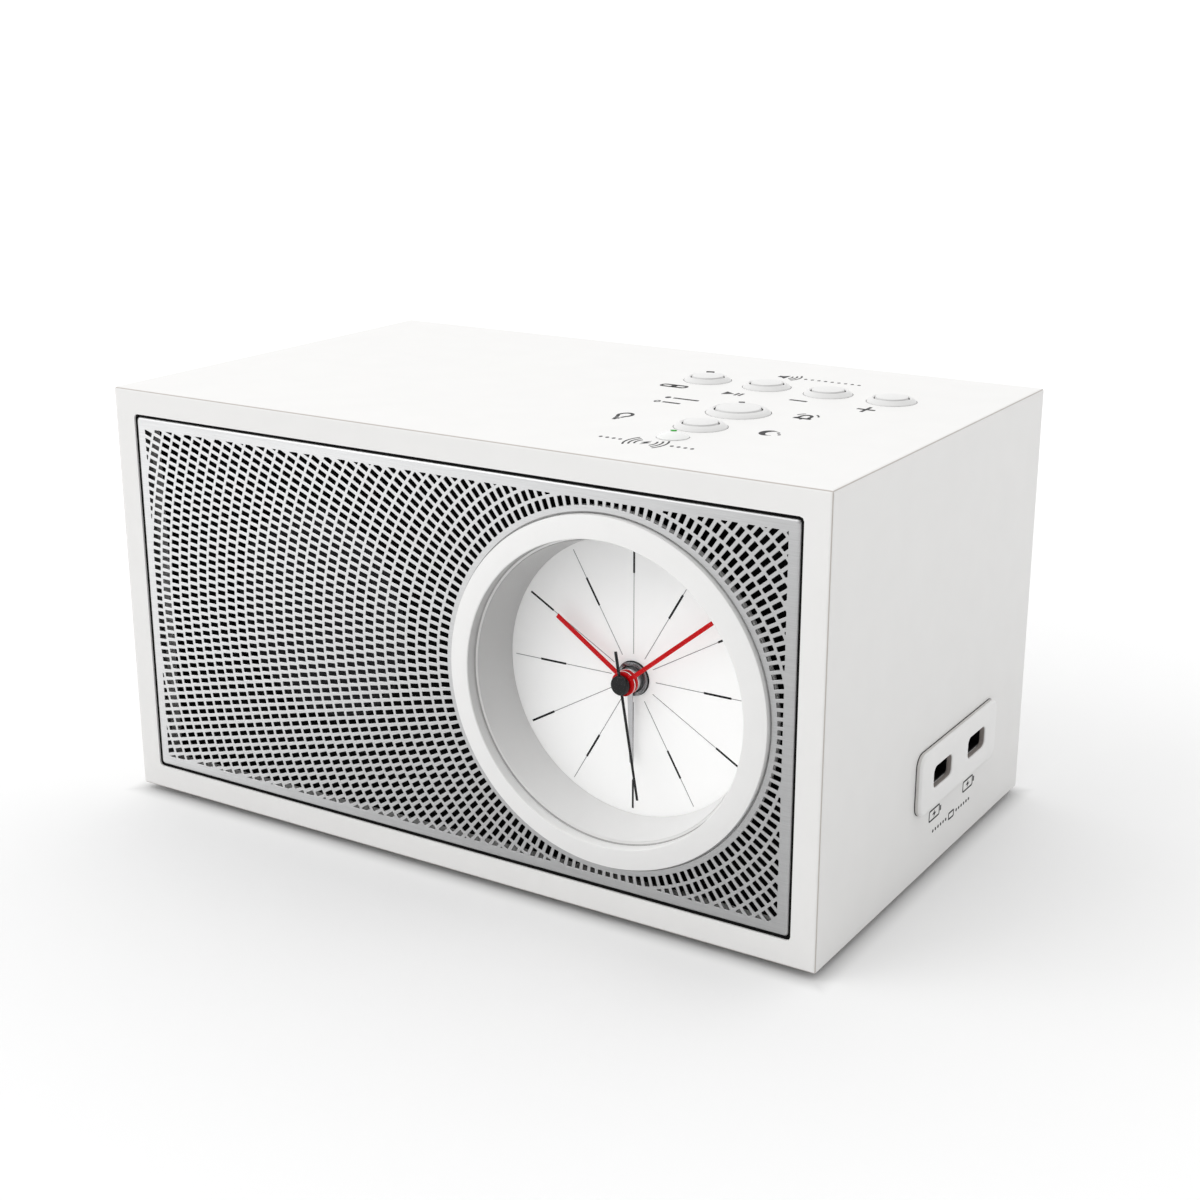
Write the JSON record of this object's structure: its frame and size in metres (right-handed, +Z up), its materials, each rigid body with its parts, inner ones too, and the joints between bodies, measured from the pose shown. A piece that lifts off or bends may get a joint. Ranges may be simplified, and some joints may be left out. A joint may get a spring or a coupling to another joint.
{
  "type": "clock radio",
  "caption": "White box-shaped bedside clock radio with a slotted metal grille, a round analogue alarm clock, round top buttons, a charging top and USB sockets in one side.",
  "frame": {"origin": "centre of the bounding box's underside, on the surface the feet stand on", "axes": "+Z up, the grille and clock face -Y, and the USB sockets face +X"},
  "size_m": [0.2368, 0.1466, 0.1313],
  "materials": {
    "white_satin": "satin white, fine texture",
    "grille_metal": "brushed along its length, satin",
    "baffle_black": "matt black",
    "lens_clear": "clear, polished",
    "dial_white": "printed white, matt",
    "hand_black": "black, satin",
    "hand_red": "red, satin",
    "hand_silver": "silver, satin",
    "nut_silver": "polished",
    "wheel_brass": "machined",
    "wheel_steel": "machined",
    "case_grey": "moulded, satin",
    "knob_grey": "moulded, satin",
    "copper": "enamelled winding",
    "lamp_milky": "milky, translucent",
    "circuit_green": "solder mask, satin",
    "basket_black": "black, satin",
    "ferrite_grey": "sintered, matt",
    "cone_paper": "black, fibrous",
    "surround_rubber": "black, matt",
    "foot_rubber": "black, matt",
    "socket_steel": "nickel plated",
    "screw_steel": "zinc plated",
    "jack_black": "moulded, satin"
  },
  "bodies": {
    "cabinet": {"cabinet_shell": "white_satin", "rear_panel": "white_satin", "front_baffle": "baffle_black", "grille": "grille_metal", "clock_bezel": "white_satin", "clock_lens": "lens_clear", "clock_dial": "dial_white", "dial_nut": "nut_silver", "movement_front_case": "case_grey", "movement_mid_plate": "wheel_brass", "movement_rear_case": "case_grey", "movement_coil": "copper", "charge_lamp": "lamp_milky", "button_board": "circuit_green", "speaker_basket": "basket_black", "speaker_magnet": "ferrite_grey", "usb_panel": "white_satin", "usb_socket_1": "socket_steel", "usb_socket_2": "socket_steel", "usb_board": "circuit_green", "charging_coil": "copper", "charging_plate": "ferrite_grey", "main_board": "circuit_green", "dc_jack": "jack_black", "pair_ring": "white_satin", "play_ring": "white_satin", "minus_ring": "white_satin", "plus_ring": "white_satin", "alarm_ring": "white_satin", "snooze_ring": "white_satin", "foot_1": "foot_rubber", "rear_screw_1": "screw_steel", "foot_2": "foot_rubber", "rear_screw_2": "screw_steel", "foot_3": "foot_rubber", "rear_screw_3": "screw_steel", "foot_4": "foot_rubber", "rear_screw_4": "screw_steel"},
    "minute": {"minute_wheel": "wheel_brass", "minute_hand": "hand_red"},
    "hour": {"hour_wheel": "wheel_brass", "hour_hand": "hand_red"},
    "second": {"second_wheel": "wheel_steel", "second_hand": "hand_black"},
    "third": {"third_wheel": "wheel_brass"},
    "motion": {"motion_wheel": "wheel_brass"},
    "time_set": {"time_set_knob": "knob_grey"},
    "alarm_pointer": {"alarm_wheel": "wheel_brass", "alarm_hand": "hand_silver"},
    "alarm_set": {"alarm_set_knob": "knob_grey"},
    "speaker_diaphragm": {"speaker_cone": "cone_paper", "speaker_surround": "surround_rubber", "speaker_dust_cap": "cone_paper"},
    "pair_key": {"pair_button": "white_satin"},
    "play_key": {"play_button": "white_satin"},
    "minus_key": {"minus_button": "white_satin"},
    "plus_key": {"plus_button": "white_satin"},
    "alarm_key": {"alarm_button": "white_satin"},
    "snooze_key": {"snooze_button": "white_satin"}
  },
  "joints": [
    {"name": "minute_spin", "type": "hinge", "parent": "cabinet", "child": "minute", "pos_m": [0.0531, -0.05575, 0.0655], "axis": [0, 1, 0], "continuous": true},
    {"name": "hour_spin", "type": "hinge", "parent": "cabinet", "child": "hour", "pos_m": [0.0531, -0.05575, 0.0655], "axis": [0, 1, 0], "continuous": true},
    {"name": "second_spin", "type": "hinge", "parent": "cabinet", "child": "second", "pos_m": [0.0531, -0.05575, 0.0655], "axis": [0, 1, 0], "continuous": true},
    {"name": "third_spin", "type": "hinge", "parent": "cabinet", "child": "third", "pos_m": [0.06371, -0.05575, 0.07611], "axis": [0, 1, 0], "continuous": true},
    {"name": "motion_spin", "type": "hinge", "parent": "cabinet", "child": "motion", "pos_m": [0.04674, -0.05575, 0.05914], "axis": [0, 1, 0], "continuous": true},
    {"name": "time_set_spin", "type": "hinge", "parent": "cabinet", "child": "time_set", "pos_m": [0.03838, -0.05575, 0.05078], "axis": [0, 1, 0], "continuous": true},
    {"name": "alarm_spin", "type": "hinge", "parent": "cabinet", "child": "alarm_pointer", "pos_m": [0.0531, -0.05575, 0.0655], "axis": [0, 1, 0], "continuous": true},
    {"name": "alarm_set_spin", "type": "hinge", "parent": "cabinet", "child": "alarm_set", "pos_m": [0.06468, -0.05575, 0.05392], "axis": [0, 1, 0], "continuous": true},
    {"name": "diaphragm_slide", "type": "slide", "parent": "cabinet", "child": "speaker_diaphragm", "axis": [0, 1, 0], "range_m": [-0.0015, 0.0015], "stiffness_N_per_m": 250},
    {"name": "pair_press", "type": "slide", "parent": "cabinet", "child": "pair_key", "axis": [0, 0, -1], "range_m": [0, 0.0007], "stiffness_N_per_m": 150, "springref_m": -0.0003},
    {"name": "play_press", "type": "slide", "parent": "cabinet", "child": "play_key", "axis": [0, 0, -1], "range_m": [0, 0.0007], "stiffness_N_per_m": 150, "springref_m": -0.0003},
    {"name": "minus_press", "type": "slide", "parent": "cabinet", "child": "minus_key", "axis": [0, 0, -1], "range_m": [0, 0.0007], "stiffness_N_per_m": 150, "springref_m": -0.0003},
    {"name": "plus_press", "type": "slide", "parent": "cabinet", "child": "plus_key", "axis": [0, 0, -1], "range_m": [0, 0.0007], "stiffness_N_per_m": 150, "springref_m": -0.0003},
    {"name": "alarm_press", "type": "slide", "parent": "cabinet", "child": "alarm_key", "axis": [0, 0, -1], "range_m": [0, 0.0007], "stiffness_N_per_m": 150, "springref_m": -0.0003},
    {"name": "snooze_press", "type": "slide", "parent": "cabinet", "child": "snooze_key", "axis": [0, 0, -1], "range_m": [0, 0.0007], "stiffness_N_per_m": 150, "springref_m": -0.0003}
  ],
  "couplings": [
    {"joint": "hour_spin", "follows": "minute_spin", "ratio": 0.083333},
    {"joint": "second_spin", "follows": "minute_spin", "ratio": 60},
    {"joint": "third_spin", "follows": "minute_spin", "ratio": -8},
    {"joint": "motion_spin", "follows": "minute_spin", "ratio": -0.33333},
    {"joint": "time_set_spin", "follows": "minute_spin", "ratio": 0.44444},
    {"joint": "alarm_set_spin", "follows": "alarm_spin", "ratio": -2}
  ]
}
